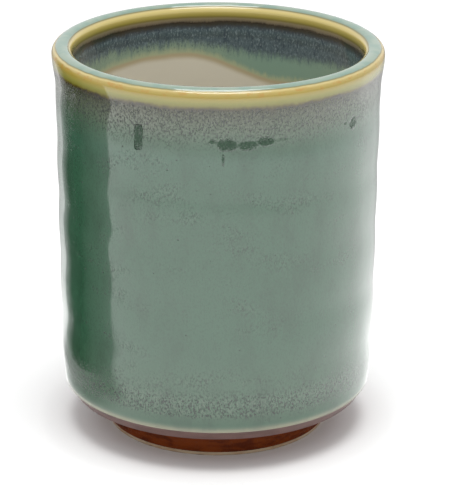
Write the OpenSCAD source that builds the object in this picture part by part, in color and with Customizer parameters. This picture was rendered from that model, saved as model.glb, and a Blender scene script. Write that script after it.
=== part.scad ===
// Brush pot: a wheel-thrown stoneware cylinder with a thick rounded lip, a foot ring and several
// coats of glaze. Millimetres, +Z up, origin at the centre of the foot's resting face.
// The clay is two solids. Each coat of glaze or slip is a thin closed shell that lies on the clay.

/* [Pot] */
// Overall height, from the table to the crown of the lip
height = 101; // [80:0.5:130]
// Outer radius at the widest part of the lip
lip_r = 42; // [41.5:0.1:46]
// Width of the lip, from its outer side to its inner side
lip_w = 5.2; // [4:0.1:8]
// Height of the rounded crown above the widest part of the lip
lip_crown = 2.2; // [1.6:0.1:3]
// Radius that the outer wall would have if it ran straight down to the table
wall_r0 = 39.95; // [37:0.05:41]
// Growth of the wall's radius from the table to the top
wall_spread = 1.35; // [0:0.05:3]
// Thickness of the wall, glaze included
wall_t = 4.5; // [3.5:0.1:6]
// Height of the inside floor above the table
floor_z = 12.5; // [11:0.5:20]
// Radius of the hollow curve between the inside wall and floor
floor_fillet = 12; // [4:1:20]

/* [Lower edge] */
// Height at which the wall starts to round in
tuck_z = 20; // [15:1:30]
// Height of the lower edge of the main glaze
edge_z = 11.2; // [10.6:0.1:13]
// How far the wall has rounded in at that edge
tuck_in = 0.6; // [0.2:0.05:1.5]
// Width of the turned chamfer below that edge, measured along the radius
chamfer_w = 2; // [1:0.1:3]
// Drop of the chamfer
chamfer_h = 2.5; // [1:0.1:3]

/* [Foot] */
// Outer radius of the foot ring
foot_r = 28.6; // [24:0.1:32]
// Width of the foot ring
foot_w = 4.4; // [3:0.1:8]
// Height of the clay foot ring
foot_h = 7; // [5:0.1:7.2]
// Bevel that breaks both lower edges of the foot ring
foot_bevel = 0.6; // [0.2:0.1:0.8]
// Height of the bare clay at the bottom of the foot
bare_h = 1; // [0.9:0.1:3]

/* [Glaze] */
// Thickness of the glaze coats
glaze_t = 0.5; // [0.4:0.05:0.8]
// Thickness of the brown slip coats
slip_t = 0.3; // [0.2:0.05:0.4]
// Depth of the glaze on the top of the lip, below the crown
lip_coat = 1.2; // [1:0.1:1.4]
// Depth of the lower edge of the outside rim band, below the crown
rim_out = 5; // [4:0.5:8]
// Depth of the lower edge of the inside rim band, below the crown
rim_in = 4; // [3.5:0.5:6]
// Depth of the lower edge of the dark inside band, below the crown
dark_in = 10; // [8:0.5:14]
// Depth of the lower edge of the green run inside, below the crown
green_in = 16; // [15:0.5:40]

/* [Hidden] */
$fn = 96;

lip_z = height - lip_crown;          // the lip is widest here
lip_mid = lip_r - lip_w / 2;         // radius of the middle of the lip
lip_in = lip_r - lip_w;              // radius of the lip's inner side
split_r = lip_in + lip_w / 4;        // inside the wall's clay all the way up
flare_h = 8;                         // the lip flares out of the wall over this height
wall_rows = 12;                      // straight stretches that make up a curved side
arc_rows = 8;                        // straight stretches in a quarter turn
inner_low = floor_z + floor_fillet;  // the inside wall meets its lower curve here
sole_z = edge_z - chamfer_h;         // height of the chamfer's lower edge
under_r = foot_r + 2;                // the underside is level from the foot to here
foot_clay_r = foot_r - slip_t;       // outer radius of the foot's clay
foot_in = foot_r - foot_w;           // inner radius of the foot's clay
clear = 2 * height;                  // a length that reaches past the pot

// The straight taper of the thrown wall
function wall_r(z) = wall_r0 + wall_spread * z / height;

// How much of the lip's flare is reached at height z, from 0 to 1
function flare(z) = let (u = max(0, 1 - (lip_z - z) / flare_h)) (1 - cos(180 * u)) / 2;

// How much of the lower rounding is reached at height z, from 0 to 1
function tuck(z) = pow(max(0, (tuck_z - z) / (tuck_z - edge_z)), 2);

// Outer and inner radius of the glazed pot at height z
function outer_r(z) = wall_r(z) + (lip_r - wall_r(lip_z)) * flare(z) - tuck_in * tuck(z);
function inner_r(z) = wall_r(z) - wall_t + (lip_in - wall_r(lip_z) + wall_t) * flare(z);

edge_r = outer_r(edge_z);            // radius at the lower edge of the main glaze
sole_r = edge_r - chamfer_w;         // radius of the chamfer's lower edge

// Points up the hollow curve from the floor to the inside wall, sunk by d below the surface
function floor_curve(d) = [for (i = [0:arc_rows - 1])
    let (a = -90 + 90 * i / arc_rows, r = floor_fillet + d)
        [inner_r(inner_low) - floor_fillet + r * cos(a), inner_low + r * sin(a)]];

// Points up the inside wall to the lip, sunk by d
function inside(d) = [for (i = [0:wall_rows - 1])
    let (z = inner_low + (lip_z - inner_low) * i / wall_rows) [inner_r(z) + d, z]];

// Points over the lip from its inner side to its outer side, sunk by d
function crown(d) = [for (i = [0:2 * arc_rows])
    let (a = 180 - 90 * i / arc_rows)
        [lip_mid + (lip_w / 2 - d) * cos(a), lip_z + (lip_crown - d) * sin(a)]];

// Points down the outside from the lip to the main glaze's lower edge, sunk by d
function outside(d) = [for (i = [1:wall_rows])
    let (z = lip_z + (edge_z - lip_z) * i / wall_rows) [outer_r(z) - d, z]];

// The whole glazed line from the middle of the inside floor to the main glaze's lower edge
function skin(d) = concat([[0, floor_z - d]], floor_curve(d), inside(d), crown(d), outside(d));

function reversed(points) = [for (i = [len(points) - 1:-1:0]) points[i]];

// Half section of the glaze coat, floor to lip to lower edge
module half_coat() {
    polygon(concat(skin(0), reversed(skin(glaze_t))));
}

// The glaze coat between radii r0 and r1 and between heights z0 and z1
module band(r0, r1, z0, z1) {
    rotate_extrude()
        intersection() {
            half_coat();
            translate([r0, z0]) square([r1 - r0, z1 - z0]);
        }
}

module outer_band(z0, z1) {
    band(split_r, clear, z0, z1);
}

module inner_band(z0, z1) {
    band(0, split_r, z0, z1);
}

module clay_body() {
    color([0.80, 0.73, 0.62]) rotate_extrude()
        polygon(concat(skin(glaze_t),
            [[sole_r - slip_t, sole_z + slip_t], [under_r, foot_h], [0, foot_h]]));
}

module foot_ring() {
    color([0.80, 0.73, 0.62]) rotate_extrude()
        polygon([[foot_in, foot_h], [foot_in, foot_bevel], [foot_in + foot_bevel, 0],
                 [foot_clay_r - foot_bevel, 0], [foot_clay_r, foot_bevel], [foot_clay_r, foot_h]]);
}

module celadon_glaze() {
    color([0.46, 0.60, 0.50]) outer_band(edge_z, height - rim_out);
}

module rim_band_outer() {
    color([0.74, 0.66, 0.36]) outer_band(height - rim_out, height - lip_coat);
}

module lip_glaze() {
    color([0.68, 0.78, 0.72]) band(0, clear, height - lip_coat, clear);
}

module rim_band_inner() {
    color([0.70, 0.62, 0.34]) inner_band(height - rim_in, height - lip_coat);
}

module inner_dark_band() {
    color([0.20, 0.24, 0.24]) inner_band(height - dark_in, height - rim_in);
}

module inner_green_run() {
    color([0.42, 0.52, 0.42]) inner_band(height - green_in, height - dark_in);
}

module liner_glaze() {
    color([0.65, 0.63, 0.56]) inner_band(0, height - green_in);
}

module chamfer_slip() {
    color([0.40, 0.30, 0.28]) rotate_extrude()
        polygon([[edge_r - glaze_t, edge_z], [edge_r - glaze_t + slip_t, edge_z],
                 [sole_r, sole_z], [sole_r - slip_t, sole_z + slip_t]]);
}

module underside_slip() {
    color([0.28, 0.14, 0.09]) rotate_extrude()
        polygon([[sole_r - slip_t, sole_z + slip_t], [sole_r, sole_z],
                 [under_r, foot_h - slip_t], [foot_clay_r, foot_h - slip_t],
                 [foot_clay_r, foot_h], [under_r, foot_h]]);
}

module foot_slip() {
    color([0.32, 0.14, 0.07]) rotate_extrude()
        polygon([[foot_clay_r, bare_h], [foot_r, bare_h + slip_t],
                 [foot_r, foot_h - slip_t], [foot_clay_r, foot_h - slip_t]]);
}

module recess_slip() {
    color([0.30, 0.15, 0.09]) rotate_extrude()
        polygon([[foot_in, bare_h], [foot_in, foot_h], [0, foot_h], [0, foot_h - slip_t],
                 [foot_in - slip_t, foot_h - slip_t], [foot_in - slip_t, bare_h + slip_t]]);
}

clay_body();
foot_ring();
celadon_glaze();
rim_band_outer();
lip_glaze();
rim_band_inner();
inner_dark_band();
inner_green_run();
liner_glaze();
chamfer_slip();
underside_slip();
foot_slip();
recess_slip();
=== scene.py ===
"""A glazed stoneware brush pot: spun clay and glaze coats, their finishes, and a pale studio."""

import logging
import math
from dataclasses import dataclass, field
from typing import Callable, Optional, Sequence

import bmesh
import bpy
from mathutils import Matrix, Vector, noise


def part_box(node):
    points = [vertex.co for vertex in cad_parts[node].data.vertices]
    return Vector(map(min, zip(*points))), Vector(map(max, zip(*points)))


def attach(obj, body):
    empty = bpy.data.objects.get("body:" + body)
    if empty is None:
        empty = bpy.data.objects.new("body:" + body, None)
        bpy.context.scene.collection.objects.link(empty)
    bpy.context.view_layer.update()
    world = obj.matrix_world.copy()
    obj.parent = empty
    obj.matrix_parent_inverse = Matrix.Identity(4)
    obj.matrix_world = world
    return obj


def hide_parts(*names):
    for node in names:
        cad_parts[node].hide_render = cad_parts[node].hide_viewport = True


Colour = tuple[float, float, float]
Point = tuple[float, float]
Place = tuple[float, float, float]
Fade = tuple[float, float]
Stop = tuple[float, Colour]
Socket = bpy.types.NodeSocket

MM = 0.001
TURN = 2.0 * math.pi
BLACK: Colour = (0.0, 0.0, 0.0)

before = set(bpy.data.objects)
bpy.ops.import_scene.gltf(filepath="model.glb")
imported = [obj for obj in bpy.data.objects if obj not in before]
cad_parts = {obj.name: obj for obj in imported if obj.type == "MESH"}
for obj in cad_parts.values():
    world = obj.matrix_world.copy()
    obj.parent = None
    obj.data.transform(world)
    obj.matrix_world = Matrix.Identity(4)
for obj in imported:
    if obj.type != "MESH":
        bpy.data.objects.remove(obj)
log = logging.getLogger("brush_pot")


def paint(red: float, green: float, blue: float) -> Colour:
    """Turns a display colour into the linear one that a shader takes.

    Args:
        red: Display red, 0 to 255.
        green: Display green, 0 to 255.
        blue: Display blue, 0 to 255.

    Returns:
        The linear colour, 0 to 1.
    """
    def linear(value: float) -> float:
        """Linear value of one display channel."""
        share = value / 255.0
        return share / 12.92 if share <= 0.04045 else ((share + 0.055) / 1.055) ** 2.4
    return linear(red), linear(green), linear(blue)


def grey(tone: float) -> Colour:
    """A grey of that linear tone, 0 to 1."""
    return tone, tone, tone


def shades(*rows: tuple[float, float, float, float]) -> tuple[Stop, ...]:
    """The stops of a ramp, from rows of a place and a display colour."""
    return tuple((place, paint(*colour)) for place, *colour in rows)


def greys(*rows: Point) -> tuple[Stop, ...]:
    """The stops of a ramp, from rows of a place and a grey tone."""
    return tuple((place, grey(tone)) for place, tone in rows)


def eased(share: float) -> float:
    """Smooth step from 0 to 1 for a share that is clamped to that range."""
    share = min(1.0, max(0.0, share))
    return share * share * (3.0 - 2.0 * share)


def steps(start: float, end: float, spacing: float) -> list[float]:
    """Evenly spaced values from start to end.

    Args:
        start: First value.
        end: Last value.
        spacing: Largest gap between neighbours.

    Returns:
        The values, both ends included.
    """
    count = max(1, math.ceil(abs(end - start) / spacing))
    return [start + (end - start) * i / count for i in range(count + 1)]


# --------------------------------------------------------------------------- form


def node_radius(node: str) -> float:
    """Largest radius of a round CAD node about the pot's axis, in metres."""
    low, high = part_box(node)
    return max(high[0] - low[0], high[1] - low[1]) / 2.0


def node_low(node: str) -> float:
    """Height of a CAD node's lowest point, in metres."""
    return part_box(node)[0][2]


def node_top(node: str) -> float:
    """Height of a CAD node's highest point, in metres."""
    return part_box(node)[1][2]


def read(measure: Callable[[str], float], node: str) -> float:
    """A dataclass field whose value is measured on a CAD node when the form is made."""
    return field(default_factory=lambda: measure(node))


@dataclass
class PotForm:
    """Sizes of the thrown pot, read from the frame, and the lines that its surfaces follow."""

    height: float = read(node_top, "lip_glaze")
    lip_r: float = read(node_radius, "rim_band_outer")
    edge_z: float = read(node_low, "celadon_glaze")
    sole_z: float = read(node_low, "chamfer_slip")
    foot_r: float = read(node_radius, "foot_slip")
    foot_h: float = read(node_top, "foot_ring")
    bare_h: float = read(node_low, "foot_slip")
    recess_r: float = read(node_radius, "recess_slip")
    liner_low: float = read(node_low, "liner_glaze")
    lip_w: float = 5.2 * MM
    lip_crown: float = 2.2 * MM
    wall_r0: float = 39.95 * MM
    wall_spread: float = 1.35 * MM
    wall_t: float = 4.5 * MM
    floor_fillet: float = 12.0 * MM
    tuck_z: float = 20.0 * MM
    tuck_in: float = 0.6 * MM
    chamfer_w: float = 2.0 * MM
    flare_h: float = 8.0 * MM
    glaze_t: float = 0.5 * MM
    slip_t: float = 0.3 * MM
    ridge_pitch: float = 15.6 * MM
    ridge_depth: float = 0.14 * MM
    ridge_second: float = 0.12
    ridge_lap: float = 34.0 * MM
    ridge_top: Fade = (6.0 * MM, 10.0 * MM)
    ridge_low: float = 8.0 * MM
    sway_depth: float = 0.12 * MM
    under_w: float = 2.0 * MM
    seam_turn: float = math.radians(50.0)
    seam_wide: float = math.radians(7.0)
    seam_depth: float = 0.13 * MM

    def __post_init__(self) -> None:
        """Works out the places that follow from the sizes."""
        self.lip_z = self.height - self.lip_crown
        self.lip_mid = self.lip_r - self.lip_w / 2.0
        self.lip_in = self.lip_r - self.lip_w
        self.faces = (0.0, self.glaze_t)
        self.floor_z = self.liner_low + self.glaze_t
        self.inner_low = self.floor_z + self.floor_fillet
        self.edge_r = self.outer_r(self.edge_z)
        self.sole_r = self.edge_r - self.chamfer_w
        self.under_r = self.foot_r + self.under_w
        self.foot_clay_r = self.foot_r - self.slip_t

    def wall_r(self, z: float) -> float:
        """Radius of the thrown wall's straight taper at height z."""
        return self.wall_r0 + self.wall_spread * z / self.height

    def flare(self, z: float) -> float:
        """Share of the lip's flare that is reached at height z, 0 to 1."""
        share = min(1.0, max(0.0, 1.0 - (self.lip_z - z) / self.flare_h))
        return (1.0 - math.cos(math.pi * share)) / 2.0

    def outer_r(self, z: float) -> float:
        """Outer radius of the glazed wall at height z."""
        low = max(0.0, (self.tuck_z - z) / (self.tuck_z - self.edge_z))
        swell = (self.lip_r - self.wall_r(self.lip_z)) * self.flare(z)
        return self.wall_r(z) + swell - self.tuck_in * low * low

    def inner_r(self, z: float) -> float:
        """Inner radius of the glazed wall at height z."""
        swell = (self.lip_in - self.wall_r(self.lip_z) + self.wall_t) * self.flare(z)
        return self.wall_r(z) - self.wall_t + swell

    def outside_line(self, top: float, low: float, sunk: float, spacing: float) -> list[Point]:
        """Points down the outer wall.

        Args:
            top: Height of the first point.
            low: Height of the last point.
            sunk: Depth of the line below the glazed surface.
            spacing: Largest height between neighbours.

        Returns:
            Radius and height of each point.
        """
        return [(self.outer_r(z) - sunk, z) for z in steps(top, low, spacing)]

    def inside_line(self, top: float, low: float, sunk: float, spacing: float) -> list[Point]:
        """Points down the inner wall, with the arguments of outside_line."""
        return [(self.inner_r(z) + sunk, z) for z in steps(top, low, spacing)]

    def crown_line(self, start: float, end: float, sunk: float, count: int) -> list[Point]:
        """Points over the lip's rounded crown.

        Args:
            start: First angle about the middle of the lip, 0 outwards and pi inwards.
            end: Last angle.
            sunk: Depth of the line below the glazed surface.
            count: Number of stretches.

        Returns:
            Radius and height of each point.
        """
        line = []
        for i in range(count + 1):
            angle = start + (end - start) * i / count
            line.append((self.lip_mid + (self.lip_w / 2.0 - sunk) * math.cos(angle),
                         self.lip_z + (self.lip_crown - sunk) * math.sin(angle)))
        return line

    def crown_angle(self, z: float, sunk: float) -> float:
        """Angle on the crown's outer side at which a line sunk by that depth has height z."""
        return math.asin(min(1.0, max(0.0, (z - self.lip_z) / (self.lip_crown - sunk))))

    def rim_line(self, node: str, inside: bool, sunk: float, spacing: float,
                 count: int) -> list[Point]:
        """Points from a rim band's upper edge down its side of the lip to its lower edge.

        Args:
            node: CAD node of the band.
            inside: Whether it is the one inside the pot.
            sunk: Depth of the line below the glazed surface.
            spacing: Largest height between neighbours.
            count: Number of stretches on the crown.

        Returns:
            Radius and height of each point.
        """
        turn = self.crown_angle(node_top(node), sunk)
        start, end = (math.pi - turn, math.pi) if inside else (turn, 0.0)
        wall_line = self.inside_line if inside else self.outside_line
        line = self.crown_line(start, end, sunk, count)
        return line + wall_line(self.lip_z, node_low(node), sunk, spacing)[1:]

    def floor_line(self, sunk: float, count: int) -> list[Point]:
        """Points from the inside wall down the hollow curve to the middle of the floor.

        Args:
            sunk: Depth of the line below the glazed surface.
            count: Number of stretches in the curve.

        Returns:
            Radius and height of each point.
        """
        centre = self.inner_r(self.inner_low) - self.floor_fillet
        reach = self.floor_fillet + sunk
        line = []
        for i in range(1, count + 1):
            angle = -math.pi / 2.0 * i / count
            line.append((centre + reach * math.cos(angle), self.inner_low + reach * math.sin(angle)))
        for radius in steps(centre, 0.0, 2.0 * MM)[1:]:
            line.append((radius, self.floor_z - sunk))
        return line

    def ridge(self, azimuth: float, z: float) -> float:
        """Height of the throwing ridges above the smooth wall.

        Args:
            azimuth: Angle about the pot's axis.
            z: Height above the table.

        Returns:
            Radial shift, outwards, in metres.
        """
        climb = z / self.ridge_pitch + azimuth / TURN
        place = Vector((math.cos(azimuth), math.sin(azimuth), z / self.ridge_lap))
        depth = self.ridge_depth * (0.75 + 0.5 * noise.noise(place * 1.3))
        wave = math.cos(TURN * climb) - self.ridge_second * math.cos(2.0 * TURN * climb + 0.6)
        slow = self.sway_depth * noise.noise(place * 0.8 + Vector((7.3, 1.1, 4.7)))
        plain, rising = self.ridge_top
        fade = eased((self.height - plain - z) / rising) * eased((z - self.edge_z) / self.ridge_low)
        return fade * (depth * wave + slow)

    def seam(self, radius: float, azimuth: float, z: float) -> Point:
        """The small groove on each side of the crown, where the lip's glaze ends in a roll.

        Args:
            radius: Distance of a point from the axis.
            azimuth: Its angle about the axis.
            z: Its height.

        Returns:
            How far the point sinks outwards and upwards, in metres.
        """
        across = (radius - self.lip_mid) / (self.lip_w / 2.0)
        up = (z - self.lip_z) / self.lip_crown
        if up <= 0.0 or math.hypot(across, up) < 0.9:
            return 0.0, 0.0
        turn = math.atan2(up, abs(across))
        around = Vector((math.cos(azimuth), math.sin(azimuth), math.copysign(1.7, across)))
        wander = (math.radians(5.0) * noise.noise(around * 9.0)
                  + math.radians(3.0) * noise.noise(around * 4.0))
        off = (turn - self.seam_turn - wander) / self.seam_wide
        sunk = -self.seam_depth * math.exp(-off * off) * (0.8 + 0.5 * noise.noise(around * 6.0))
        slope = math.atan2(up / self.lip_crown, across / self.lip_w * 2.0)
        return sunk * math.cos(slope), sunk * math.sin(slope)


# --------------------------------------------------------------------------- meshes


class Lathe:
    """Spins closed half sections about the pot's axis into finished pieces."""

    segments = 288
    shoulder_steps = (8, 6)
    sharp = math.radians(38.0)

    def __init__(self, form: PotForm) -> None:
        """Keeps the form that the spun surfaces follow."""
        self.form = form

    def spin(self, name: str, section: Sequence[Point],
             shift: Optional[Callable[[float, float, float], Point]] = None) -> bpy.types.Object:
        """Spins a half section into a closed piece.

        Args:
            name: Name of the piece.
            section: Radius and height of each corner in order. The last joins the first, unless
                both lie on the axis.
            shift: Gives the outward and upward shift at a radius, azimuth and height.

        Returns:
            The new object, at the origin.
        """
        bm = bmesh.new()
        ring = [bm.verts.new((radius, 0.0, z)) for radius, z in section]
        pairs = list(zip(ring, ring[1:]))
        if section[0][0] > 0.0 or section[-1][0] > 0.0:
            pairs.append((ring[-1], ring[0]))
        edges = [bm.edges.new(pair) for pair in pairs]
        bmesh.ops.spin(bm, geom=ring + edges, cent=(0, 0, 0), axis=(0, 0, 1), angle=TURN,
                       steps=self.segments, use_merge=True)
        bmesh.ops.remove_doubles(bm, verts=bm.verts, dist=0.002 * MM)
        if shift is not None:
            for vert in bm.verts:
                radius = math.hypot(vert.co.x, vert.co.y)
                if radius > 0.0:
                    out, up = shift(radius, math.atan2(vert.co.y, vert.co.x), vert.co.z)
                    vert.co.x *= 1.0 + out / radius
                    vert.co.y *= 1.0 + out / radius
                    vert.co.z += up
        bmesh.ops.recalc_face_normals(bm, faces=bm.faces)
        for face in bm.faces:
            face.smooth = True
        for edge in bm.edges:
            edge.smooth = edge.calc_face_angle(0.0) < self.sharp
        mesh = bpy.data.meshes.new(name)
        bm.to_mesh(mesh)
        bm.free()
        piece = bpy.data.objects.new(name, mesh)
        bpy.context.scene.collection.objects.link(piece)
        return piece

    def coat(self, name: str, skin: Sequence[Point], clay: Sequence[Point],
             shift: Optional[Callable[[float, float, float], Point]] = None) -> bpy.types.Object:
        """Spins a coat from its glazed line and the line where it lies on the clay."""
        return self.spin(name, [*skin, *reversed(clay)], shift)

    def rim_band(self, name: str, node: str, inside: bool, spacings: Point) -> bpy.types.Object:
        """Spins a band of glaze beside the lip's own coat.

        Args:
            name: Name of the piece.
            node: CAD node where it lies.
            inside: Whether it is the one inside the pot.
            spacings: Largest steps down its glazed side and down the clay.

        Returns:
            The new piece.
        """
        skin, clay = (self.form.rim_line(node, inside, sunk, spacing, count) for sunk, spacing, count
                      in zip(self.form.faces, spacings, self.shoulder_steps))
        return self.coat(name, skin, clay)

    def outer_shift(self, radius: float, azimuth: float, z: float) -> Point:
        """Throwing ridges on the glazed outside; the clay side of a coat stays as it is."""
        on_skin = radius > self.form.outer_r(z) - self.form.glaze_t / 2.0
        return (self.form.ridge(azimuth, z), 0.0) if on_skin else (0.0, 0.0)


# --------------------------------------------------------------------------- finishes


class Recipe:
    """A material and short calls that lay down its nodes."""

    def __init__(self, name: str) -> None:
        """Starts a material with one glossy shader.

        Args:
            name: Name of the material.
        """
        self.material = bpy.data.materials.new(name)
        self.material.use_nodes = True
        self.tree = self.material.node_tree
        self.shader = self.tree.nodes["Principled BSDF"]
        place = self.node("ShaderNodeTexCoord")
        self.place: Socket = place.outputs["Object"]

    def node(self, kind: str) -> bpy.types.Node:
        """Adds a node of that type."""
        return self.tree.nodes.new(kind)

    def feed(self, socket: Socket, value: object) -> None:
        """Links a socket to another one, or sets it to a plain value."""
        if isinstance(value, bpy.types.NodeSocket):
            self.tree.links.new(value, socket)
        elif isinstance(value, tuple) and len(value) == 3 and socket.type == "RGBA":
            socket.default_value = (*value, 1.0)
        else:
            socket.default_value = value

    def maths(self, operation: str, *values: object, clamp: bool = False) -> Socket:
        """Adds a Math node.

        Args:
            operation: Blender's name for the operation.
            values: Sockets or numbers.
            clamp: Whether the result stays between 0 and 1.

        Returns:
            The result.
        """
        node = self.node("ShaderNodeMath")
        node.operation = operation
        node.use_clamp = clamp
        for socket, value in zip(node.inputs, values):
            self.feed(socket, value)
        return node.outputs[0]

    def product(self, first: object, second: object) -> Socket:
        """Two values multiplied."""
        return self.maths("MULTIPLY", first, second)

    def swing(self, share: Socket, reach: float) -> Socket:
        """Turns a value from 0 to 1 into one from -reach to reach."""
        return self.maths("MULTIPLY_ADD", share, 2.0 * reach, -reach)

    def axes(self) -> tuple[Socket, Socket, Socket]:
        """The three object coordinates."""
        split = self.node("ShaderNodeSeparateXYZ")
        self.feed(split.inputs[0], self.place)
        return tuple(split.outputs)

    def span(self, value: object, start: float, end: float, smooth: bool = True) -> Socket:
        """Share of the way that a value has gone from start to end, clamped to 0 to 1."""
        node = self.node("ShaderNodeMapRange")
        node.interpolation_type = "SMOOTHSTEP" if smooth else "LINEAR"
        node.clamp = True
        self.feed(node.inputs["Value"], value)
        self.feed(node.inputs["From Min"], start)
        self.feed(node.inputs["From Max"], end)
        return node.outputs["Result"]

    def window(self, value: object, rise: Fade, fall: Fade) -> Socket:
        """Mask of the zone between two fades, the second given from its far end."""
        return self.product(self.span(value, *rise), self.span(value, *fall))

    def stretched(self, size: float, squeeze: float = 1.0, shift: float = 0.0) -> Socket:
        """Object coordinates counted in features, with the arguments of cloud."""
        node = self.node("ShaderNodeMapping")
        across = 1.0 / size
        self.feed(node.inputs["Vector"], self.place)
        self.feed(node.inputs["Scale"], (across, across, across * squeeze))
        self.feed(node.inputs["Location"], (shift, shift * 0.7, shift * 1.3))
        return node.outputs["Vector"]

    def cloud(self, size: float, detail: float = 2.0, rough: float = 0.5,
              squeeze: float = 1.0, shift: float = 0.0) -> Socket:
        """Noise whose features have a real size.

        Args:
            size: Size of the largest features, in metres.
            detail: Number of finer layers.
            rough: Weight of the finer layers.
            squeeze: Frequency along the pot's height over that across it, so that a value
                under 1 gives upright streaks.
            shift: Moves the pattern, in features.

        Returns:
            Noise from 0 to 1 with its middle at 0.5.
        """
        node = self.node("ShaderNodeTexNoise")
        node.inputs["Scale"].default_value = 1.0
        node.inputs["Detail"].default_value = detail
        node.inputs["Roughness"].default_value = rough
        self.feed(node.inputs["Vector"], self.stretched(size, squeeze, shift))
        return node.outputs["Fac"]

    def patches(self, start: float, end: float, size: float, detail: float = 2.0,
                rough: float = 0.5, squeeze: float = 1.0, shift: float = 0.0) -> Socket:
        """Mask of a cloud's higher places, from start to end, with the arguments of cloud."""
        return self.span(self.cloud(size, detail, rough, squeeze, shift), start, end)

    def specks(self, size: float, radius: float, share: float) -> Socket:
        """Small round specks, one at most in each cell of a loose grid.

        Args:
            size: Width of a cell, in metres.
            radius: Radius of the largest speck, in cells.
            share: Share of the cells that hold one.

        Returns:
            A mask, 1 in the middle of a speck.
        """
        node = self.node("ShaderNodeTexVoronoi")
        node.inputs["Scale"].default_value = 1.0
        self.feed(node.inputs["Vector"], self.stretched(size))
        split = self.node("ShaderNodeSeparateColor")
        self.feed(split.inputs[0], node.outputs["Color"])
        held = self.maths("LESS_THAN", split.outputs[0], share)
        reach = self.maths("MULTIPLY_ADD", split.outputs[1], 0.6 * radius, 0.4 * radius)
        gone = self.maths("DIVIDE", node.outputs["Distance"], reach)
        near = self.maths("SUBTRACT", 1.0, gone, clamp=True)
        return self.product(held, self.maths("MULTIPLY", near, 2.2, clamp=True))

    def mix(self, share: object, first: object, second: object, mode: str = "MIX") -> Socket:
        """Blends two colours.

        Args:
            share: Weight of the second.
            first: Colour or socket under it.
            second: Colour or socket on top.
            mode: Blender's name for the way they mix.

        Returns:
            The blended colour.
        """
        node = self.node("ShaderNodeMix")
        node.data_type = "RGBA"
        node.blend_type = mode
        node.clamp_factor = True
        self.feed(node.inputs[0], share)
        self.feed(node.inputs[6], first)
        self.feed(node.inputs[7], second)
        return node.outputs[2]

    def ramp(self, value: Socket, stops: Sequence[Stop]) -> Socket:
        """Colours laid along a measured value.

        Args:
            value: The measure.
            stops: Places along it in order, each with its colour.

        Returns:
            The colour.
        """
        start, end = stops[0][0], stops[-1][0]
        node = self.node("ShaderNodeValToRGB")
        elements = node.color_ramp.elements
        elements.remove(elements[1])
        for i, (place, colour) in enumerate(stops):
            share = (place - start) / (end - start)
            element = elements[0] if i == 0 else elements.new(share)
            element.position = share
            element.color = (*colour, 1.0)
        self.feed(node.inputs[0], self.span(value, start, end, smooth=False))
        return node.outputs[0]

    def bump(self, height: Socket, depth: float, under: Optional[Socket] = None) -> Socket:
        """Adds a bump of a real depth, over another one if it is given."""
        node = self.node("ShaderNodeBump")
        node.inputs["Distance"].default_value = depth
        node.inputs["Strength"].default_value = 1.0
        self.feed(node.inputs["Height"], height)
        if under is not None:
            self.feed(node.inputs["Normal"], under)
        return node.outputs["Normal"]

    def dress(self, name: str, value: object) -> None:
        """Links the shader's input of that name, or sets it to a plain value."""
        self.feed(self.shader.inputs[name], value)

    def glow(self, colour: Socket, strength: float) -> None:
        """Makes the material shine in that colour and answer to no other light."""
        self.dress("Emission Color", colour)
        self.dress("Emission Strength", strength)
        self.dress("Base Color", BLACK)
        self.dress("Specular IOR Level", 0.0)


@dataclass(frozen=True)
class GlazeMark:
    """A small dark pool in the outside glaze.

    Attributes:
        azimuth: Degrees from the front, positive to the right.
        depth: Millimetres below the crown of the lip.
        half_width: Half of its width, in millimetres.
        half_height: Half of its height, in millimetres.
        square: 2 for an oval, more for a blunt rectangle.
        strength: How dark it is, 0 to 1.
    """

    azimuth: float
    depth: float
    half_width: float
    half_height: float
    square: float = 2.0
    strength: float = 1.0


MARKS = (
    GlazeMark(-27.8, 13.4, 1.15, 3.1, 6.0, 0.9),
    GlazeMark(3.1, 13.9, 2.3, 1.5, 2.6, 0.85),
    GlazeMark(10.1, 14.1, 2.5, 1.25, 2.2, 0.75),
    GlazeMark(16.4, 13.4, 2.2, 1.15, 2.4, 0.9),
    GlazeMark(-1.6, 13.0, 1.0, 0.5, 2.0, 0.6),
    GlazeMark(22.0, 13.2, 1.8, 0.4, 2.0, 0.3),
    GlazeMark(1.8, 17.6, 0.3, 1.4, 2.0, 0.55),
    GlazeMark(53.5, 13.3, 1.5, 1.6, 1.7, 0.85),
    GlazeMark(49.0, 12.6, 0.5, 0.4, 2.0, 0.6),
    GlazeMark(-103.0, 13.8, 2.6, 1.3, 2.4, 0.85),
    GlazeMark(-152.0, 14.2, 1.2, 2.4, 5.0, 0.85),
    GlazeMark(158.0, 13.6, 2.4, 1.4, 2.4, 0.85),
    GlazeMark(165.0, 14.0, 2.0, 1.1, 2.4, 0.75),
    GlazeMark(110.0, 13.9, 1.6, 1.5, 1.8, 0.8),
)


@dataclass(frozen=True)
class GlazeSkin:
    """What the glaze is like at each point of the pot.

    Attributes:
        colour: Its colour.
        pools: Mask of the dark pools.
        pits: Mask of the fine pits in the freckled zones.
        depth: Depth below the crown, in millimetres.
    """

    colour: Socket
    pools: Socket
    pits: Socket
    depth: Socket


OUTSIDE_STOPS = shades(
    (0.0, 120, 136, 122), (0.4, 120, 136, 122), (0.55, 98, 94, 52),    # crown and its edge
    (0.78, 176, 160, 108), (1.15, 158, 140, 80), (2.0, 150, 132, 56),  # amber
    (2.9, 138, 130, 60), (3.5, 124, 122, 52), (4.1, 112, 108, 40),     # olive
    (4.6, 84, 76, 22), (5.1, 52, 44, 12), (5.6, 44, 46, 12),           # brown line
    (6.8, 50, 58, 32), (9.5, 56, 76, 52), (13.0, 54, 82, 60),          # freckled zone
    (18.0, 50, 86, 66), (26.0, 45, 82, 60), (32.0, 45, 82, 60))        # celadon

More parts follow.
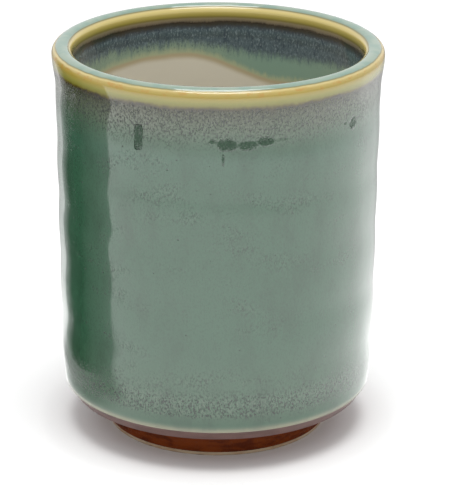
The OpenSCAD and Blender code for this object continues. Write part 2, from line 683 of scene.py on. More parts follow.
INSIDE_STOPS = shades(
    (0.0, 120, 136, 122), (0.4, 120, 136, 122), (0.58, 98, 94, 52),    # crown and its edge
    (0.85, 176, 160, 108), (1.2, 186, 170, 106), (2.1, 176, 160, 90),  # amber
    (2.7, 150, 138, 62), (3.2, 112, 100, 46), (3.6, 124, 112, 84),     # amber running thin
    (4.2, 94, 84, 68), (4.55, 42, 32, 20), (5.2, 48, 48, 42),          # dark line
    (5.8, 56, 62, 68), (6.5, 76, 92, 98), (7.2, 70, 86, 90),           # blue-grey band
    (8.2, 66, 80, 84), (9.2, 76, 92, 98), (10.0, 76, 92, 98))


@dataclass(frozen=True)
class GlazeZones:
    """Where the glaze changes, as fades in millimetres.

    Names ending in _in and _out are a zone's first and last edge. The low and hem fades are measured
    up from the main glaze's lower edge; run, fringe, tan and beige are measured down from the edge
    where that glaze starts; all the others are measured down from the crown.
    """

    wander_in: Fade = (2.2, 6.0)
    trim_out: Fade = (3.0, 0.0)
    gilt_in: Fade = (0.7, 1.1)
    gilt_out: Fade = (2.6, 1.6)
    haze_in: Fade = (6.0, 8.0)
    haze_out: Fade = (14.0, 9.0)
    smudge_in: Fade = (4.2, 5.0)
    smudge_out: Fade = (6.4, 5.2)
    drift_in: Fade = (8.0, 16.0)
    freckle_in: Fade = (4.7, 5.6)
    freckle_out: Fade = (18.5, 9.0)
    speckled_in: Fade = (4.6, 5.2)
    speckled_low: Fade = (1.8, 3.6)
    low_in: Fade = (3.2, 5.0)
    low_out: Fade = (14.0, 8.0)
    low_tone: Fade = (24.0, 8.0)
    hem_in: Fade = (1.7, 0.3)
    inside_wander_in: Fade = (2.6, 5.0)
    blue_in: Fade = (5.4, 6.2)
    blue_fleck_out: Fade = (16.0, 10.0)
    run_in: Fade = (-1.5, 1.8)
    fringe_in: Fade = (-2.2, -0.3)
    tan_in: Fade = (-0.7, 0.2)
    beige_in: Fade = (0.1, 2.0)
    crown_top: Fade = (0.45, 0.3)


@dataclass(frozen=True)
class GlazeField:
    """The colours of the glaze over lip, outside and inside, by depth below the crown.

    One field serves every coat, so that no colour steps where two coats meet.

    Attributes:
        form: The pot's sizes.
        zones: Where the glaze changes.
        lip_cool: Colour of the cooler clouds on the crown.
        grain_size: Size of the freckles, in metres.
        low_blue: Lower edge of the blue band, and how much lower it hangs on the right.
        low_green: Lower edge of the green run, and how much lower it hangs on the right.
        dip_in: Degrees from the back over which the inside glazes start to hang lower.
        dip_out: Degrees from the back over which they rise again.
        arch_middle: Degrees from the back at which the liner reaches highest.
        arch_width: Degrees over which it falls off from there.
    """

    form: PotForm
    zones: GlazeZones = GlazeZones()
    lip_cool: Colour = paint(106, 129, 117)
    rust: Colour = paint(160, 118, 52)
    lavender: Colour = paint(84, 84, 72)
    smoke: Colour = paint(50, 44, 30)
    celadon_low: Colour = paint(52, 84, 62)
    celadon_deep: Colour = paint(26, 58, 38)
    hem: Colour = paint(104, 108, 78)
    mark: Colour = paint(10, 50, 26)
    fleck_dark: Colour = paint(10, 26, 16)
    fleck_light: Colour = paint(106, 112, 98)
    blue_deep: Colour = paint(30, 44, 60)
    blue_pale: Colour = paint(122, 138, 142)
    run_green: Colour = paint(128, 148, 128)
    run_teal: Colour = paint(120, 148, 132)
    run_pale: Colour = paint(158, 166, 134)
    tan: Colour = paint(172, 158, 128)
    beige: Colour = paint(206, 200, 184)
    grain_size: float = 0.42 * MM
    low_blue: Fade = (10.0, 3.2)
    low_green: Fade = (13.0, 4.4)
    dip_in: Fade = (-14.0, 22.0)
    dip_out: Fade = (24.0, 85.0)
    arch_middle: float = -22.0
    arch_width: float = 32.0

    def depth(self, recipe: Recipe) -> tuple[Socket, Socket, Socket]:
        """Depth below the crown in millimetres, azimuth from the front in degrees, and radius."""
        x, y, z = recipe.axes()
        depth = recipe.product(recipe.maths("SUBTRACT", self.form.height, z), 1.0 / MM)
        turn = recipe.maths("ARCTAN2", x, recipe.product(y, -1.0))
        azimuth = recipe.product(turn, 360.0 / TURN)
        squared = recipe.maths("ADD", recipe.product(x, x), recipe.product(y, y))
        return depth, azimuth, recipe.maths("SQRT", squared)

    def marks(self, recipe: Recipe, depth: Socket, azimuth: Socket) -> Socket:
        """Mask of the dark pools, with ragged edges and a mottled middle."""
        ragged = recipe.swing(recipe.cloud(0.7 * MM, detail=3.0, rough=0.65, squeeze=0.6), 0.9)
        arc = self.form.lip_r / MM * TURN / 360.0
        total: Optional[Socket] = None
        for pool in MARKS:
            across = recipe.maths("ABSOLUTE", recipe.product(
                recipe.maths("SUBTRACT", azimuth, pool.azimuth), arc / pool.half_width))
            down = recipe.maths("ABSOLUTE", recipe.maths(
                "DIVIDE", recipe.maths("SUBTRACT", depth, pool.depth), pool.half_height))
            reach = recipe.maths("ADD", recipe.maths("POWER", across, pool.square),
                                 recipe.maths("POWER", down, pool.square))
            mask = recipe.span(recipe.maths("ADD", reach, ragged), 1.4, 0.6)
            mask = recipe.product(mask, pool.strength)
            total = mask if total is None else recipe.maths("MAXIMUM", total, mask)
        mottle = recipe.patches(0.3, 0.62, 0.5 * MM, rough=0.6, squeeze=0.7, shift=3.0)
        return recipe.product(total, recipe.maths("MULTIPLY_ADD", mottle, 0.4, 0.6))

    def outside(self, recipe: Recipe, depth: Socket, azimuth: Socket) -> GlazeSkin:
        """The outside at each depth below the crown."""
        zones = self.zones
        sway = recipe.swing(recipe.cloud(12.0 * MM), 1.1)
        ripple = recipe.swing(recipe.cloud(1.5 * MM, rough=0.6, squeeze=0.5), 0.6)
        wander = recipe.product(recipe.maths("ADD", sway, ripple), recipe.span(depth, *zones.wander_in))
        trim = recipe.product(recipe.span(depth, *zones.trim_out),
                              recipe.swing(recipe.cloud(2.5 * MM), 0.12))
        measure = recipe.maths("ADD", recipe.maths("ADD", depth, wander), trim)
        base = recipe.ramp(measure, OUTSIDE_STOPS)
        gilt = recipe.window(measure, zones.gilt_in, zones.gilt_out)
        lumps = recipe.patches(0.5, 0.66, 2.6 * MM, detail=3.0, rough=0.6, squeeze=1.6)
        base = recipe.mix(recipe.product(gilt, recipe.product(lumps, 0.6)), base, self.rust)
        haze = recipe.window(measure, zones.haze_in, zones.haze_out)
        tint = recipe.patches(0.35, 0.7, 9.0 * MM)
        base = recipe.mix(recipe.product(haze, recipe.maths("MULTIPLY_ADD", tint, 0.3, 0.08)),
                          base, self.lavender)
        smudge = recipe.window(measure, zones.smudge_in, zones.smudge_out)
        burnt = recipe.patches(0.5, 0.64, 7.0 * MM, detail=3.0, rough=0.6, shift=5.0)
        base = recipe.mix(recipe.product(smudge, burnt), base, self.smoke)
        rise = recipe.maths("SUBTRACT", (self.form.height - self.form.edge_z) / MM, depth)
        base = recipe.mix(recipe.span(rise, *zones.low_tone), base, self.celadon_low)
        edge = recipe.swing(recipe.cloud(2.0 * MM), 0.25)
        base = recipe.mix(recipe.span(recipe.maths("ADD", rise, edge), *zones.hem_in), base, self.hem)
        drift = recipe.patches(0.42, 0.72, 7.0 * MM, detail=4.0, rough=0.6, squeeze=0.45, shift=9.0)
        drift = recipe.product(drift, recipe.span(depth, *zones.drift_in))
        base = recipe.mix(recipe.product(drift, 0.45), base, self.celadon_deep)
        pools = self.marks(recipe, depth, azimuth)
        colour, pits = self.freckled(recipe, base, measure, rise)
        return GlazeSkin(recipe.mix(pools, colour, self.mark), pools, pits, depth)

    def freckled(self, recipe: Recipe, base: Socket, measure: Socket,
                 rise: Socket) -> tuple[Socket, Socket]:
        """Lays fine flecks over a colour, dense below the rim and above the lower edge.

        Args:
            recipe: The material.
            base: The colour under them.
            measure: Depth below the crown, in millimetres.
            rise: Height above the glaze's lower edge, in millimetres.

        Returns:
            The flecked colour and a mask of the pits in it.
        """
        zones = self.zones
        patch = recipe.patches(0.5, 0.7, 15.0 * MM, detail=3.0, rough=0.55, squeeze=2.4)
        bands = recipe.maths("MAXIMUM", recipe.window(measure, zones.freckle_in, zones.freckle_out),
                             recipe.window(rise, zones.low_in, zones.low_out))
        below = recipe.product(recipe.span(measure, *zones.speckled_in),
                               recipe.span(rise, *zones.speckled_low))
        density = recipe.product(below, recipe.maths(
            "MAXIMUM", bands, recipe.maths("MULTIPLY_ADD", patch, 0.45, 0.2)))
        pitted = recipe.product(below, recipe.maths(
            "MAXIMUM", bands, recipe.maths("MULTIPLY_ADD", patch, 0.3, 0.06)))
        grain = recipe.cloud(self.grain_size, rough=0.75, squeeze=0.6)
        dark = recipe.product(recipe.span(grain, 0.5, 0.62), density)
        light = recipe.product(recipe.span(grain, 0.48, 0.36), density)
        base = recipe.mix(recipe.product(dark, 0.95), base, self.fleck_dark)
        base = recipe.mix(recipe.product(recipe.product(light, density), 0.32), base, self.fleck_light)
        pins = recipe.product(recipe.specks(2.6 * MM, radius=0.11, share=0.45), below)
        pits = recipe.maths("MAXIMUM", pins, recipe.product(recipe.span(grain, 0.54, 0.61), pitted))
        return recipe.mix(recipe.product(pins, 0.9), base, self.fleck_dark), pits

    def hang(self, recipe: Recipe, azimuth: Socket) -> tuple[Socket, Socket]:
        """How the inside glazes hang round the pot.

        Args:
            recipe: The material.
            azimuth: Degrees from the front.

        Returns:
            Share by which they hang lower right of the back, and the fall of the liner's arch in
            millimetres.
        """
        back = recipe.maths("SUBTRACT", 180.0, recipe.maths("ABSOLUTE", azimuth))
        right = recipe.product(back, recipe.maths("SIGN", azimuth))
        rising = recipe.product(recipe.span(right, *self.dip_out), 0.85)
        dip = recipe.product(recipe.span(right, *self.dip_in), recipe.maths("SUBTRACT", 1.0, rising))
        arch = recipe.product(recipe.maths("ADD", right, -self.arch_middle), 1.0 / self.arch_width)
        return dip, recipe.maths("MINIMUM", recipe.product(recipe.product(arch, arch), 1.3), 2.5)

    def inside(self, recipe: Recipe, depth: Socket, azimuth: Socket) -> Socket:
        """Colour of the inside at each depth below the crown."""
        zones = self.zones
        dip, arch = self.hang(recipe, azimuth)
        sway = recipe.swing(recipe.cloud(9.0 * MM), 0.7)
        fuzz = recipe.swing(recipe.cloud(0.7 * MM, detail=3.0, rough=0.7, squeeze=0.35), 0.45)
        measure = recipe.maths("ADD", depth, recipe.product(
            recipe.maths("ADD", sway, fuzz), recipe.span(depth, *zones.inside_wander_in)))
        base = recipe.ramp(measure, INSIDE_STOPS)
        grain = recipe.cloud(self.grain_size, rough=0.75, squeeze=0.5)
        blue = recipe.span(measure, *zones.blue_in)
        streaks = recipe.cloud(1.1 * MM, detail=3.0, rough=0.7, squeeze=0.22, shift=2.0)
        deep = recipe.product(blue, recipe.span(streaks, 0.5, 0.7))
        base = recipe.mix(recipe.product(deep, 0.7), base, self.blue_deep)
        pale = recipe.product(blue, recipe.span(grain, 0.54, 0.66))
        base = recipe.mix(recipe.product(pale, 0.6), base, self.blue_pale)
        drip = recipe.swing(streaks, 2.5)
        blue_edge = recipe.maths("MULTIPLY_ADD", dip, self.low_blue[1], self.low_blue[0])
        run = recipe.maths("SUBTRACT", recipe.maths("ADD", measure, drip), blue_edge)
        green = recipe.mix(dip, self.run_green, self.run_teal)
        base = recipe.mix(recipe.span(run, *zones.run_in), base, green)
        flecks = recipe.product(recipe.span(grain, 0.46, 0.34),
                                recipe.span(measure, *zones.blue_fleck_out))
        base = recipe.mix(recipe.product(recipe.product(flecks, blue), 0.45), base, self.blue_deep)
        green_edge = recipe.maths("ADD", recipe.maths(
            "MULTIPLY_ADD", dip, self.low_green[1], self.low_green[0]), arch)
        hung = recipe.maths("ADD", depth, recipe.product(sway, 0.6))
        past = recipe.maths("SUBTRACT", hung, green_edge)
        fringe = recipe.maths("ADD", past, recipe.product(drip, 0.5))
        base = recipe.mix(recipe.span(fringe, *zones.fringe_in), base, self.run_pale)
        base = recipe.mix(recipe.span(past, *zones.tan_in), base, self.tan)
        return recipe.mix(recipe.span(past, *zones.beige_in), base, self.beige)

    def skin(self, recipe: Recipe) -> GlazeSkin:
        """The whole field: outside and inside joined over the crown."""
        depth, azimuth, radius = self.depth(recipe)
        over = recipe.span(radius, self.form.lip_mid - 0.4 * MM, self.form.lip_mid + 0.4 * MM)
        outside = self.outside(recipe, depth, azimuth)
        both = recipe.mix(over, self.inside(recipe, depth, azimuth), outside.colour)
        clouds = recipe.patches(0.4, 0.62, 5.0 * MM, detail=3.0, rough=0.6)
        cool = recipe.product(recipe.span(depth, *self.zones.crown_top), clouds)
        return GlazeSkin(recipe.mix(cool, both, self.lip_cool), recipe.product(outside.pools, over),
                         recipe.product(outside.pits, over), depth)


@dataclass(frozen=True)
class GlazeFinish:
    """A glossy coat that takes its colour from the shared field.

    Attributes:
        name: Name of the material.
        field: The colours.
        gloss: Roughness of the glassy surface.
        haze: Roughness that its cloudy places add.
        index: Refractive index of the glass.
        ripple: Depth of the slow waves in the glaze, in metres.
        orange_peel: Depth of the fine waves, in metres.
        pit_depth: Depth of the pits in the freckled zones, in metres.
        pool_depth: Middle of the dark pools, in millimetres below the crown.
        pool_slope: How far the pools' surface leans back.
        pool_rough: Roughness that they add.
    """

    name: str
    field: GlazeField
    gloss: float = 0.07
    haze: float = 0.06
    index: float = 1.56
    ripple: float = 0.05 * MM
    orange_peel: float = 0.004 * MM
    pit_depth: float = 0.05 * MM
    pool_depth: float = 13.7
    pool_slope: float = 0.28
    pool_rough: float = 0.12

    def make(self) -> bpy.types.Material:
        """Builds the material."""
        recipe = Recipe(self.name)
        skin = self.field.skin(recipe)
        recipe.dress("Base Color", skin.colour)
        cloudy = recipe.patches(0.55, 0.8, 1.2 * MM, detail=3.0, rough=0.6)
        clear = recipe.maths("MULTIPLY_ADD", cloudy, self.haze, self.gloss)
        recipe.dress("Roughness", recipe.maths("MULTIPLY_ADD", skin.pools, self.pool_rough, clear))
        recipe.dress("IOR", self.index)
        slow = recipe.bump(recipe.cloud(7.0 * MM, detail=1.0), self.ripple)
        fine = recipe.bump(recipe.cloud(0.8 * MM), self.orange_peel, under=slow)
        pitted = recipe.bump(recipe.product(skin.pits, -1.0), self.pit_depth, under=fine)
        scoop = recipe.product(recipe.maths("SUBTRACT", skin.depth, self.pool_depth),
                               recipe.product(skin.pools, self.pool_slope))
        recipe.dress("Normal", recipe.bump(scoop, MM, under=pitted))
        return recipe.material


@dataclass(frozen=True)
class SlipFinish:
    """An iron slip: brown, with darker pooled clouds and small pits.

    Attributes:
        name: Name of the material.
        base: Main colour.
        deep: Colour of the thick places.
        gloss: Roughness.
        sheen: How strongly it mirrors, half being an ordinary glaze.
        index: Refractive index.
        pit_depth: Depth of the pits, in metres.
    """

    name: str
    base: Colour
    deep: Colour
    gloss: float = 0.22
    sheen: float = 0.5
    index: float = 1.5
    pit_depth: float = 0.02 * MM

    def make(self) -> bpy.types.Material:
        """Builds the material."""
        recipe = Recipe(self.name)
        cloud = recipe.patches(0.4, 0.66, 5.0 * MM, detail=3.0, rough=0.6, squeeze=3.2)
        colour = recipe.mix(cloud, self.base, self.deep)
        grain = recipe.patches(0.55, 0.75, 0.5 * MM, rough=0.6)
        colour = recipe.mix(recipe.product(grain, 0.4), colour, self.deep)
        recipe.dress("Base Color", colour)
        recipe.dress("Roughness", recipe.maths("MULTIPLY_ADD", grain, 0.15, self.gloss))
        recipe.dress("IOR", self.index)
        recipe.dress("Specular IOR Level", self.sheen)
        pocks = recipe.cloud(0.9 * MM, detail=3.0, rough=0.6)
        recipe.dress("Normal", recipe.bump(pocks, self.pit_depth))
        return recipe.material


@dataclass(frozen=True)
class StonewareFinish:
    """Bare fired stoneware: cream, matt and gritty, with iron specks.

    Attributes:
        name: Name of the material.
        base: Main colour.
        warm: Colour of the toasted places.
        grit: Colour of the iron specks.
        matt: Lowest roughness.
        tooth: Depth of the gritty surface, in metres.
    """

    name: str = "bare_stoneware"
    base: Colour = paint(164, 146, 122)
    warm: Colour = paint(150, 122, 92)
    grit: Colour = paint(92, 66, 46)
    matt: float = 0.72
    tooth: float = 0.03 * MM

    def make(self) -> bpy.types.Material:
        """Builds the material."""
        recipe = Recipe(self.name)
        toast = recipe.patches(0.4, 0.7, 6.0 * MM, detail=3.0, rough=0.6)
        colour = recipe.mix(toast, self.base, self.warm)
        specks = recipe.specks(1.1 * MM, radius=0.22, share=0.4)
        colour = recipe.mix(recipe.product(specks, 0.7), colour, self.grit)
        recipe.dress("Base Color", colour)
        grain = recipe.cloud(0.35 * MM, detail=3.0, rough=0.7)
        recipe.dress("Roughness", recipe.maths("MULTIPLY_ADD", grain, 0.2, self.matt))
        recipe.dress("Normal", recipe.bump(grain, self.tooth))
        return recipe.material


# --------------------------------------------------------------------------- sub-assemblies


def settle(piece: bpy.types.Object, node: str, material: bpy.types.Material) -> None:
    """Gives a finished piece its material and its place in the frame.

    Args:
        piece: The new object.
        node: The CAD node that it stands for.
        material: Its finish.
    """
    piece.data.materials.append(material)
    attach(piece, "root")
    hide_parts(node)
    log.info("%s: %d faces, stands for %s", piece.name, len(piece.data.polygons), node)


@dataclass
class ClayPot:
    """The thrown clay: the body under the glaze, and the foot ring with its bare lower face."""

    form: PotForm
    lathe: Lathe
    worn: float = 0.45 * MM
    worn_turn: float = math.pi / 12.0
    inner_step: float = 4.0 * MM
    outer_step: float = 2.0 * MM
    floor_steps: int = 10
    crown_steps: int = 16

    def build(self) -> None:
        """Makes and dresses both clay pieces."""
        finish = StonewareFinish().make()
        settle(self.body(), "clay_body", finish)
        settle(self.foot(), "foot_ring", finish)

    def body(self) -> bpy.types.Object:
        """Spins the clay body: floor, wall and lip."""
        form = self.form
        sunk = form.glaze_t
        section = form.floor_line(sunk, self.floor_steps)[::-1]
        section += form.inside_line(form.inner_low, form.lip_z, sunk, self.inner_step)[:-1]
        section += form.crown_line(math.pi, 0.0, sunk, self.crown_steps)
        section += form.outside_line(form.lip_z, form.edge_z, sunk, self.outer_step)[1:]
        section += [(form.sole_r - form.slip_t, form.sole_z + form.slip_t),
                    (form.under_r, form.foot_h), (0.0, form.foot_h)]
        return self.lathe.spin("clay_pot", section)

    def foot(self) -> bpy.types.Object:
        """Spins the foot ring, with rounded lower edges."""
        form = self.form
        inner, outer = form.recess_r, form.foot_clay_r
        section = [(inner, form.foot_h)]
        for centre, first in ((inner + self.worn, math.pi), (outer - self.worn, 1.5 * math.pi)):
            for angle in steps(first, first + math.pi / 2.0, self.worn_turn):
                section.append((centre + self.worn * math.cos(angle),
                                self.worn + self.worn * math.sin(angle)))
        section.append((outer, form.foot_h))
        return self.lathe.spin("turned_foot", section)


@dataclass
class OutsideCoats:
    """The celadon on the wall and the amber band where it breaks over the lip.

    Each pair of steps is the largest one on the glazed side and the one on the clay.
    """

    form: PotForm
    lathe: Lathe
    colours: GlazeField
    roll: float = 0.35 * MM
    roll_turn: float = math.pi / 10.0
    wall_steps: Point = (0.9 * MM, 3.0 * MM)
    band_steps: Point = (0.4 * MM, 1.5 * MM)

    def build(self) -> None:
        """Makes and dresses both coats."""
        wall = GlazeFinish("celadon_glaze", self.colours).make()
        settle(self.wall(), "celadon_glaze", wall)
        band = GlazeFinish("amber_rim_glaze", self.colours).make()
        settle(self.lathe.rim_band("amber_band_outside", "rim_band_outer", False, self.band_steps),
               "rim_band_outer", band)

    def wall(self) -> bpy.types.Object:
        """Spins the wall's coat, with a rolled lower edge."""
        form = self.form
        top = node_top("celadon_glaze")
        skin = form.outside_line(top, form.edge_z + self.roll, 0.0, self.wall_steps[0])
        for angle in steps(0.0, -math.pi / 2.0, self.roll_turn)[1:]:
            skin.append((form.edge_r - self.roll + self.roll * math.cos(angle),
                         form.edge_z + self.roll + self.roll * math.sin(angle)))
        clay = form.outside_line(top, form.edge_z, form.glaze_t, self.wall_steps[1])
        return self.lathe.coat("celadon_coat", skin, clay, self.lathe.outer_shift)


@dataclass
class LipCoat:
    """The pale glaze on the crown of the lip."""

    form: PotForm
    lathe: Lathe
    colours: GlazeField
    crown_steps: tuple[int, int] = (60, 16)

    def build(self) -> None:
        """Makes and dresses the coat."""
        skin, clay = (self.arch(sunk, count) for sunk, count in zip(self.form.faces, self.crown_steps))
        piece = self.lathe.coat("lip_coat", skin, clay, self.form.seam)
        settle(piece, "lip_glaze", GlazeFinish("pale_lip_glaze", self.colours).make())

    def arch(self, sunk: float, count: int) -> list[Point]:
        """Points over the crown between the coat's two lower edges."""
        turn = self.form.crown_angle(node_low("lip_glaze"), sunk)
        return self.form.crown_line(turn, math.pi - turn, sunk, count)


@dataclass
class InsideCoats:
    """The glazes inside: amber and dark bands, the green run and the liner.

    Each pair of steps is the largest one on the glazed side and the one on the clay.
    """

    form: PotForm
    lathe: Lathe
    colours: GlazeField
    rim_steps: Point = (0.4 * MM, 1.0 * MM)
    strip_steps: Point = (0.6 * MM, 2.0 * MM)
    liner_steps: Point = (1.2 * MM, 4.0 * MM)
    floor_steps: tuple[int, int] = (16, 10)
    liner_gloss: float = 0.2

    def build(self) -> None:
        """Makes and dresses the four coats."""
        rim = GlazeFinish("amber_inside_glaze", self.colours).make()
        settle(self.lathe.rim_band("amber_band_inside", "rim_band_inner", True, self.rim_steps),
               "rim_band_inner", rim)
        for node, name, slot in (("inner_dark_band", "dark_band_inside", "inside_dark"),
                                 ("inner_green_run", "green_run_inside", "inside_green")):
            finish = GlazeFinish(name + "_glaze", self.colours).make()
            settle(self.strip(name, node), node, finish)
        liner = GlazeFinish("liner_glaze", self.colours, self.liner_gloss).make()
        settle(self.liner(), "liner_glaze", liner)

    def strip(self, name: str, node: str) -> bpy.types.Object:
        """Spins a plain band of the inner wall's glaze, named name, where the CAD node lies."""
        skin, clay = (self.form.inside_line(node_top(node), node_low(node), sunk, spacing)
                      for sunk, spacing in zip(self.form.faces, self.strip_steps))
        return self.lathe.coat(name, skin, clay)

    def liner(self) -> bpy.types.Object:
        """Spins the liner down the wall and over the floor."""
        form = self.form
        top = node_top("liner_glaze")
        skin, clay = (
            form.inside_line(top, form.inner_low, sunk, spacing) + form.floor_line(sunk, count)
            for sunk, spacing, count in zip(form.faces, self.liner_steps, self.floor_steps))
        return self.lathe.spin("liner_coat", clay[::-1] + skin)


@dataclass
class FootCoats:
    """The slips below the main glaze: chamfer, underside, foot side and recess."""

    form: PotForm
    lathe: Lathe
    mauve: SlipFinish = SlipFinish("mauve_slip", paint(90, 62, 56), paint(74, 46, 40), gloss=0.4)
    brown: SlipFinish = SlipFinish("brown_slip", paint(104, 46, 12), paint(76, 29, 8), gloss=0.25,
                                   sheen=0.08)

    def build(self) -> None:
        """Makes and dresses the four slips."""
        mauve, brown = self.mauve.make(), self.brown.make()
        settle(self.chamfer(), "chamfer_slip", mauve)
        settle(self.underside(), "underside_slip", brown)
        settle(self.side(), "foot_slip", brown)
        settle(self.recess(), "recess_slip", brown)

    def chamfer(self) -> bpy.types.Object:
        """Spins the slip on the turned chamfer."""
        form = self.form
        top = form.edge_r - form.glaze_t
        return self.lathe.spin("chamfer_coat", [
            (top, form.edge_z), (top + form.slip_t, form.edge_z), (form.sole_r, form.sole_z),
            (form.sole_r - form.slip_t, form.sole_z + form.slip_t)])

    def underside(self) -> bpy.types.Object:
        """Spins the slip between the chamfer and the foot."""
        form = self.form
        face = form.foot_h - form.slip_t
        return self.lathe.spin("underside_coat", [
            (form.sole_r - form.slip_t, form.sole_z + form.slip_t), (form.sole_r, form.sole_z),
            (form.under_r, face), (form.foot_clay_r, face), (form.foot_clay_r, form.foot_h),
            (form.under_r, form.foot_h)])

    def side(self) -> bpy.types.Object:
        """Spins the slip on the foot's outer side."""
        form = self.form
        face = form.foot_h - form.slip_t
        return self.lathe.spin("foot_side_coat", [
            (form.foot_clay_r, form.bare_h), (form.foot_r, form.bare_h + form.slip_t),
            (form.foot_r, face), (form.foot_clay_r, face)])

    def recess(self) -> bpy.types.Object:
        """Spins the slip inside the foot ring and under the floor."""
        form = self.form
        inner, face = form.recess_r, form.foot_h - form.slip_t
        return self.lathe.spin("recess_coat", [
            (0.0, face), (inner - form.slip_t, face),
            (inner - form.slip_t, form.bare_h + form.slip_t), (inner, form.bare_h),
            (inner, form.foot_h), (0.0, form.foot_h)])


# --------------------------------------------------------------------------- studio


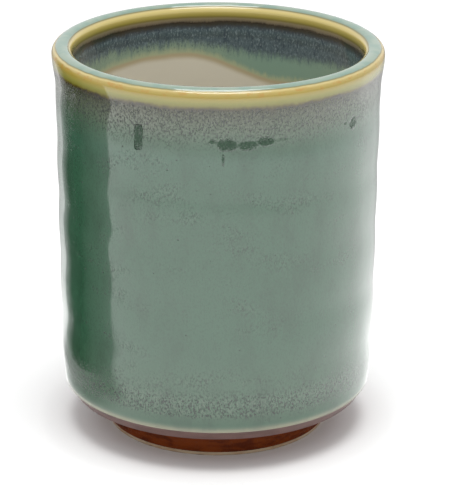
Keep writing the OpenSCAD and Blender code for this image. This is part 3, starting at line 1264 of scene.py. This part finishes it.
@dataclass
class Studio:
    """A pale table under soft light, with cards that show only in the glaze, and the camera.

    Sizes and places are in metres, angles in radians.
    """

    sky: float = 1.0
    table_size: float = 6.0
    table_tone: float = 0.8
    table_rough: float = 0.7
    table_sheen: float = 0.2
    sheet_inner: Point = (0.046, 0.0004)
    sheet_outer: Point = (1.2, 0.0004)
    sheet_segments: int = 96
    sheet_glow: float = 4.0
    # Painted light on the sheet: its glow from front (-1) to back (1), then outwards from the pot, dim
    # right beside it as painted shade.
    sheet_around: tuple[Stop, ...] = greys(
        (-1.0, 0.78), (0.0, 0.74), (0.5, 0.62), (0.77, 0.37), (0.866, 0.22), (0.94, 0.17),
        (0.985, 0.14), (1.0, 0.12))
    sheet_outwards: tuple[Stop, ...] = greys(
        (0.046, 0.6), (0.075, 1.0), (0.28, 1.0), (0.4, 0.8), (0.6, 0.66))
    # Painted shadow of the card on the sheet: how much it dims the sheet left of the pot, and where.
    shade: float = 0.75
    shade_left: Fade = (-0.042, -0.06)
    shade_front: Fade = (-0.05, -0.03)
    shade_back: Fade = (0.06, 0.03)
    card_front: Point = (-0.079, -0.037)
    card_back: Point = (-0.067, 0.032)
    card_low: float = 0.001
    card_height: float = 0.108
    card_glow: float = 3.0
    # Painted reflection: the card's glow along it, from its front end to its back end.
    card_tones: tuple[Stop, ...] = greys(
        (0.0, 0.3), (0.08, 0.26), (0.19, 0.18), (0.36, 0.09), (0.49, 0.01), (0.75, 0.02),
        (0.84, 0.13), (0.93, 0.22), (1.0, 0.28))
    lamp_place: Place = (0.03, -0.12, 0.95)
    lamp_size: float = 0.6
    lamp_power: float = 7.3
    lens: float = 198.6
    sensor: float = 36.0
    far: float = 20.0
    distance: float = 0.65
    eye: float = 0.28346
    pan: float = 0.00659
    tilt: float = 0.34818
    roll: float = 0.007

    def build(self) -> None:
        """Sets up the sky, table, cards, light and camera."""
        self.light_sky()
        self.lay_table()
        self.lay_sheet()
        self.raise_flag()
        self.hang_softbox()
        self.place_camera()

    def light_sky(self) -> None:
        """An even pale sky."""
        world = bpy.data.worlds.new("studio_sky")
        world.use_nodes = True
        shader = world.node_tree.nodes["Background"]
        shader.inputs["Color"].default_value = (1.0, 1.0, 1.0, 1.0)
        shader.inputs["Strength"].default_value = self.sky
        bpy.context.scene.world = world
        bpy.context.scene.view_settings.view_transform = "Standard"

    def stand(self, name: str, bm: bmesh.types.BMesh, material: bpy.types.Material,
              unseen: bool = True) -> None:
        """Puts a stage piece in the scene.

        Args:
            name: Its name.
            bm: Its mesh, which is freed.
            material: Its finish.
            unseen: Whether it shows only in glossy surfaces.
        """
        mesh = bpy.data.meshes.new(name)
        bm.to_mesh(mesh)
        bm.free()
        mesh.materials.append(material)
        piece = bpy.data.objects.new(name, mesh)
        bpy.context.scene.collection.objects.link(piece)
        if unseen:
            piece.visible_camera = False
            piece.visible_diffuse = False
            piece.visible_shadow = False

    def lay_table(self) -> None:
        """A plain white table."""
        bm = bmesh.new()
        bmesh.ops.create_grid(bm, x_segments=1, y_segments=1, size=self.table_size / 2.0)
        recipe = Recipe("white_table")
        recipe.dress("Base Color", grey(self.table_tone))
        recipe.dress("Roughness", self.table_rough)
        recipe.dress("Specular IOR Level", self.table_sheen)
        self.stand("table", bm, recipe.material, unseen=False)

    def lay_sheet(self) -> None:
        """A glowing sheet round the pot, seen only in glossy surfaces, that paints the table's
        reflection: strongest in front, dim behind, with painted shade next to the pot and a painted
        shadow of the card at the left.
        """
        bm = bmesh.new()
        rims = (self.sheet_inner, self.sheet_outer)
        start, end = (bm.verts.new((radius, 0.0, z)) for radius, z in rims)
        edge = bm.edges.new((start, end))
        bmesh.ops.spin(bm, geom=[start, end, edge], cent=(0, 0, 0), axis=(0, 0, 1), angle=TURN,
                       steps=self.sheet_segments, use_merge=True)
        recipe = Recipe("painted_reflection_sheet")
        x, y, _ = recipe.axes()
        reach = recipe.node("ShaderNodeVectorMath")
        reach.operation = "LENGTH"
        recipe.feed(reach.inputs[0], recipe.place)
        away = reach.outputs["Value"]
        around = recipe.ramp(recipe.maths("DIVIDE", y, away), self.sheet_around)
        lit = recipe.mix(1.0, around, recipe.ramp(away, self.sheet_outwards), "MULTIPLY")
        shaded = recipe.product(recipe.span(x, *self.shade_left),
                                recipe.window(y, self.shade_front, self.shade_back))
        recipe.glow(recipe.mix(recipe.product(shaded, self.shade), lit, BLACK), self.sheet_glow)
        self.stand("painted_reflection_sheet", bm, recipe.material)

    def raise_flag(self) -> None:
        """A dark card at the left, seen only in glossy surfaces, whose dim glow paints the dark
        reflection there, a little less dark towards both ends.
        """
        bm = bmesh.new()
        low = [bm.verts.new((x, y, self.card_low)) for x, y in (self.card_front, self.card_back)]
        risen = bmesh.ops.extrude_edge_only(bm, edges=[bm.edges.new(low)])
        top = [item for item in risen["geom"] if isinstance(item, bmesh.types.BMVert)]
        bmesh.ops.translate(bm, verts=top, vec=(0.0, 0.0, self.card_height))
        recipe = Recipe("painted_reflection_card")
        y = recipe.axes()[1]
        front, back = self.card_front[1], self.card_back[1]
        share = recipe.maths("DIVIDE", recipe.maths("SUBTRACT", y, front), back - front)
        recipe.glow(recipe.ramp(share, self.card_tones), self.card_glow)
        self.stand("painted_reflection_card", bm, recipe.material)

    def hang_softbox(self) -> None:
        """A round soft light above the pot, a little to the front."""
        lamp = bpy.data.lights.new("softbox", "AREA")
        lamp.shape = "DISK"
        lamp.size = self.lamp_size
        lamp.energy = self.lamp_power
        light = bpy.data.objects.new("softbox", lamp)
        light.location = self.lamp_place
        bpy.context.scene.collection.objects.link(light)

    def place_camera(self) -> None:
        """The camera, a little above the rim and looking down into the mouth."""
        camera = bpy.data.cameras.new("camera")
        camera.lens = self.lens
        camera.sensor_width = self.sensor
        camera.clip_end = self.far
        eye = bpy.data.objects.new("camera", camera)
        forward = Vector((math.sin(self.pan) * math.cos(self.tilt),
                          math.cos(self.pan) * math.cos(self.tilt), -math.sin(self.tilt)))
        right = Vector((math.cos(self.pan), -math.sin(self.pan), 0.0))
        up = right.cross(forward)
        leaned_right = right * math.cos(self.roll) + up * math.sin(self.roll)
        leaned_up = up * math.cos(self.roll) - right * math.sin(self.roll)
        turn = Matrix((leaned_right, leaned_up, -forward)).transposed()
        eye.matrix_world = Matrix.Translation((0.0, -self.distance, self.eye)) @ turn.to_4x4()
        bpy.context.scene.collection.objects.link(eye)
        bpy.context.scene.camera = eye


def main() -> None:
    """Builds the pot and its studio, logging each piece as it is made."""
    logging.basicConfig(level=logging.INFO, format="%(message)s")
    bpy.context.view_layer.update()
    form = PotForm()
    lathe = Lathe(form)
    colours = GlazeField(form)
    Studio().build()
    ClayPot(form, lathe).build()
    OutsideCoats(form, lathe, colours).build()
    LipCoat(form, lathe, colours).build()
    InsideCoats(form, lathe, colours).build()
    FootCoats(form, lathe).build()


if __name__ == "__main__":
    main()
